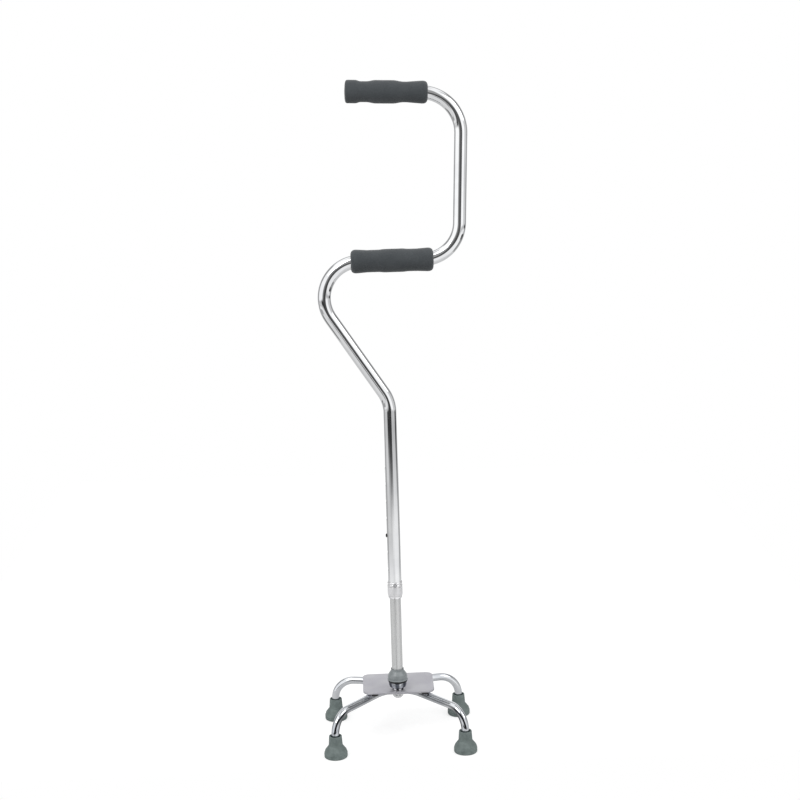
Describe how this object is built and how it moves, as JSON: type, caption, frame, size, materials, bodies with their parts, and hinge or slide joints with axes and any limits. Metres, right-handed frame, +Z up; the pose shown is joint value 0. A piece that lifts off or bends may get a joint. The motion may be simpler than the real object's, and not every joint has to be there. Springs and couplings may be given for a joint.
{
  "type": "quad cane with two grips",
  "caption": "Height-adjustable walking cane: one bent tube carries an upper and a lower foam grip, above a telescoping shaft and a flat four-footed base.",
  "frame": {"origin": "on the floor, under the middle of the bounding box", "axes": "+Z up; +X along the grips towards the riser that joins them; the front feet are at -Y"},
  "size_m": [0.225, 0.1736, 0.9393],
  "materials": {
    "chrome_tube": "bright chrome plate on steel tube",
    "chrome_leg": "bright chrome plate on steel tube",
    "chrome_cup": "bright chrome plate on turned steel",
    "satin_tube": "satin plated steel tube",
    "satin_chrome": "satin chrome plate",
    "zinc_steel": "zinc plated",
    "spring_steel": "black oxide",
    "foam": "closed-cell foam with a fine matt skin",
    "rubber": "moulded matt rubber",
    "grey_plastic": "moulded, low sheen",
    "black_plastic": "moulded",
    "painted_steel": "powder coated, semi-gloss"
  },
  "bodies": {
    "base": {"button_spring": "spring_steel", "inner_tube": "satin_tube", "tube_insert": "zinc_steel", "hub_boot": "grey_plastic", "hub_ring": "black_plastic", "hub_cup": "chrome_cup", "hub_jam_nut": "chrome_cup", "hub_stud": "zinc_steel", "hub_washer": "zinc_steel", "acorn_nut": "chrome_cup", "base_plate": "painted_steel", "front_leg_tube": "chrome_leg", "rear_leg_tube": "chrome_leg", "foot_front_left": "rubber", "foot_front_right": "rubber", "foot_rear_left": "rubber", "foot_rear_right": "rubber", "disc_front_left": "zinc_steel", "disc_front_right": "zinc_steel", "disc_rear_left": "zinc_steel", "disc_rear_right": "zinc_steel"},
    "handle": {"handle_tube": "chrome_tube", "upper_grip": "foam", "lower_grip": "foam", "tube_end_plug": "black_plastic", "clamp_ring": "satin_chrome", "set_screw": "zinc_steel", "tube_bush": "black_plastic"},
    "locking_nut": {"locking_nut": "satin_chrome"},
    "snap_button": {"snap_button": "spring_steel"}
  },
  "joints": [
    {"name": "height_adjust", "type": "slide", "parent": "base", "child": "handle", "axis": [0, 0, 1], "range_m": [-0.1, 0.05]},
    {"name": "nut_turn", "type": "hinge", "parent": "handle", "child": "locking_nut", "pos_m": [-0.00426, 0, 0.218], "axis": [0, 0, 1], "range_deg": [0, 180]},
    {"name": "button_press", "type": "slide", "parent": "base", "child": "snap_button", "axis": [1, 0, 0], "range_m": [0, 0.0034], "stiffness_N_per_m": 2500, "deforming": ["button_spring"]}
  ]
}
